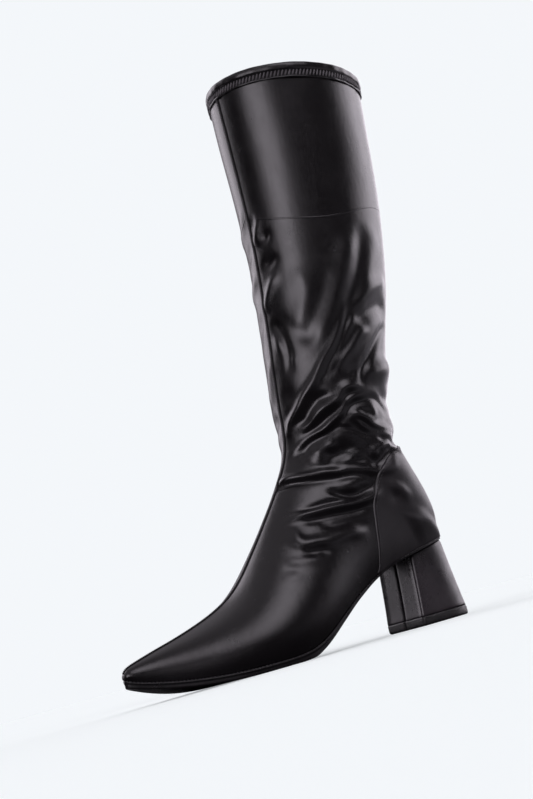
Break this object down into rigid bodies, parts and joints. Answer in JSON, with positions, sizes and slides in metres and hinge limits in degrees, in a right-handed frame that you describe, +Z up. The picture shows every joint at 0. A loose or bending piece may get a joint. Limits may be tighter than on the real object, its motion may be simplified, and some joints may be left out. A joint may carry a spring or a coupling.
{
  "type": "knee-high boot",
  "caption": "Left knee-high pull-on boot: hollow soft shaft over a pointed foot, collar band, front seam, counter, thin sole and a flared block heel.",
  "frame": {"origin": "centre of the heel's ground face, on the plane of the floor", "axes": "+X to the toe, +Y to the wearer's left (the outer side), +Z up along the shaft"},
  "size_m": [0.2866, 0.1014, 0.3938],
  "materials": {
    "upper": "smooth semi-gloss synthetic leather",
    "counter": "smooth semi-gloss synthetic leather",
    "seam": "stitched raised seam",
    "band": "folded and stitched hem",
    "insole": "matte lining cloth over board",
    "outsole": "satin moulded rubber with a glossy edge",
    "heel": "glossy wrapped heel",
    "top_lift": "matte rubber"
  },
  "bodies": {
    "root": {"upper": "upper", "heel_counter": "counter", "front_seam": "seam", "collar_band": "band", "insole": "insole", "outsole": "outsole", "heel": "heel", "top_lift": "top_lift"}
  },
  "joints": []
}
